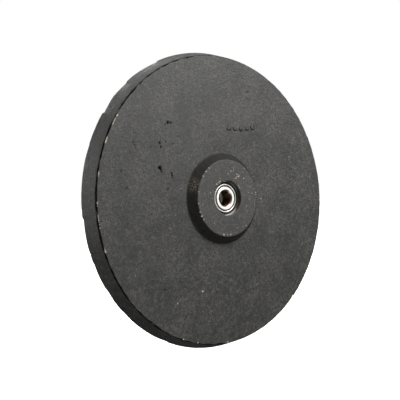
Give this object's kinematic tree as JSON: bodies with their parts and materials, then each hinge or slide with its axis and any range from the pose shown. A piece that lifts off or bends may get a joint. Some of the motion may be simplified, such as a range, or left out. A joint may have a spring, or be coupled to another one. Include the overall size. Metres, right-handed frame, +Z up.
{
  "type": "closing wheel",
  "caption": "Cast-iron closing wheel for a seed drill: a flat-faced disc with a flared tread, a conical boss, a sealed ball bearing and a pressed dust cap at the back of the hub.",
  "frame": {"origin": "middle of the bearing's bore, on the wheel's spin axis", "axes": "Y is the spin axis; -Y is the side with the boss and the open bearing pocket, +Y the dished back with the dust cap; +Z is up"},
  "size_m": [0.317, 0.0364, 0.317],
  "materials": {
    "cast_iron_black": "black paint over a sand-cast skin, satin, chipped to grey metal at the edges",
    "bearing_steel": "ground and turned",
    "ball_steel": "polished",
    "cage_steel": "pressed sheet",
    "seal_rubber": "moulded, matt",
    "seal_steel": "bright pressed sheet",
    "phosphated_steel": "phosphated spring steel",
    "zinc_plated_steel": "dull bright zinc plate"
  },
  "bodies": {
    "axle_ring": {"bearing_inner_ring": "bearing_steel"},
    "wheel": {"wheel_casting": "cast_iron_black", "bearing_outer_ring": "bearing_steel", "front_seal_lip": "seal_rubber", "front_seal_insert": "seal_steel", "rear_seal_lip": "seal_rubber", "rear_seal_insert": "seal_steel", "snap_ring": "phosphated_steel"},
    "cage": {"cage_front_half": "cage_steel", "cage_rear_half": "cage_steel", "cage_rivets": "cage_steel"},
    "ball_1": {"ball_1": "ball_steel"},
    "ball_2": {"ball_2": "ball_steel"},
    "ball_3": {"ball_3": "ball_steel"},
    "ball_4": {"ball_4": "ball_steel"},
    "ball_5": {"ball_5": "ball_steel"},
    "ball_6": {"ball_6": "ball_steel"},
    "ball_7": {"ball_7": "ball_steel"},
    "ball_8": {"ball_8": "ball_steel"},
    "cap": {"dust_cap": "zinc_plated_steel"}
  },
  "joints": [
    {"name": "wheel_spin", "type": "hinge", "parent": "axle_ring", "child": "wheel", "pos_m": [0, 0, 0], "axis": [0, 1, 0], "continuous": true},
    {"name": "cage_spin", "type": "hinge", "parent": "axle_ring", "child": "cage", "pos_m": [0, 0, 0], "axis": [0, 1, 0], "continuous": true},
    {"name": "ball_1_spin", "type": "hinge", "parent": "cage", "child": "ball_1", "pos_m": [0, -0.001, 0.01425], "axis": [0, 1, 0], "continuous": true},
    {"name": "ball_2_spin", "type": "hinge", "parent": "cage", "child": "ball_2", "pos_m": [0.01008, -0.001, 0.01008], "axis": [0, 1, 0], "continuous": true},
    {"name": "ball_3_spin", "type": "hinge", "parent": "cage", "child": "ball_3", "pos_m": [0.01425, -0.001, 0], "axis": [0, 1, 0], "continuous": true},
    {"name": "ball_4_spin", "type": "hinge", "parent": "cage", "child": "ball_4", "pos_m": [0.01008, -0.001, -0.01008], "axis": [0, 1, 0], "continuous": true},
    {"name": "ball_5_spin", "type": "hinge", "parent": "cage", "child": "ball_5", "pos_m": [0, -0.001, -0.01425], "axis": [0, 1, 0], "continuous": true},
    {"name": "ball_6_spin", "type": "hinge", "parent": "cage", "child": "ball_6", "pos_m": [-0.01008, -0.001, -0.01008], "axis": [0, 1, 0], "continuous": true},
    {"name": "ball_7_spin", "type": "hinge", "parent": "cage", "child": "ball_7", "pos_m": [-0.01425, -0.001, 0], "axis": [0, 1, 0], "continuous": true},
    {"name": "ball_8_spin", "type": "hinge", "parent": "cage", "child": "ball_8", "pos_m": [-0.01008, -0.001, 0.01008], "axis": [0, 1, 0], "continuous": true},
    {"name": "cap_pull", "type": "slide", "parent": "wheel", "child": "cap", "axis": [0, 1, 0], "range_m": [0, 0.06]}
  ],
  "couplings": [
    {"joint": "cage_spin", "follows": "wheel_spin", "ratio": 0.61837},
    {"joint": "ball_1_spin", "follows": "wheel_spin", "ratio": 1.9937},
    {"joint": "ball_2_spin", "follows": "wheel_spin", "ratio": 1.9937},
    {"joint": "ball_3_spin", "follows": "wheel_spin", "ratio": 1.9937},
    {"joint": "ball_4_spin", "follows": "wheel_spin", "ratio": 1.9937},
    {"joint": "ball_5_spin", "follows": "wheel_spin", "ratio": 1.9937},
    {"joint": "ball_6_spin", "follows": "wheel_spin", "ratio": 1.9937},
    {"joint": "ball_7_spin", "follows": "wheel_spin", "ratio": 1.9937},
    {"joint": "ball_8_spin", "follows": "wheel_spin", "ratio": 1.9937}
  ]
}
